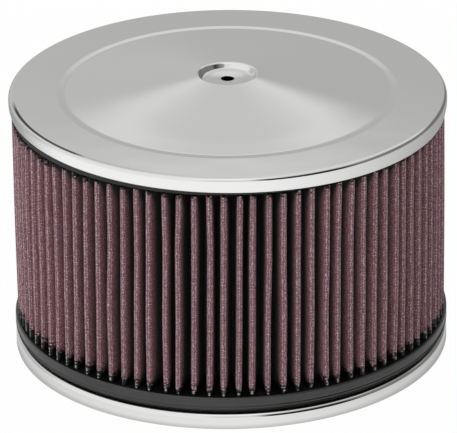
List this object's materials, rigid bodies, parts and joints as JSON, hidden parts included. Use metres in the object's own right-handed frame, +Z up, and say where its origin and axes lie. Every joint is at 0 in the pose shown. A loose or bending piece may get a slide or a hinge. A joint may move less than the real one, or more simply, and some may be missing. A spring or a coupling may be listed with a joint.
{
  "type": "carburetor air cleaner",
  "caption": "Round air cleaner for a carburetor: chromed lid and base plate with turned-down rims, clamping a tall pleated filter element between soft end caps.",
  "frame": {"origin": "on the axis of symmetry, at the height of the base plate's standing edge", "axes": "+Z up along the axis from the base plate to the lid; +Y away from the picture's camera, towards the pack's seam"},
  "size_m": [0.2286, 0.2286, 0.1496],
  "materials": {
    "chrome_plate": "bright chrome on pressed steel, slightly satin",
    "urethane": "moulded black polyurethane, satin",
    "cotton_media": "oiled mauve-red cotton gauze between fine dark wire screens",
    "clip_steel": "zinc-plated strip",
    "gasket": "cork and rubber sheet, matte"
  },
  "bodies": {
    "root": {"lid": "chrome_plate", "base_plate": "chrome_plate", "neck_gasket": "gasket", "top_end_cap": "urethane", "bottom_end_cap": "urethane", "pleated_media": "cotton_media", "media_seam_clip": "clip_steel"}
  },
  "joints": []
}
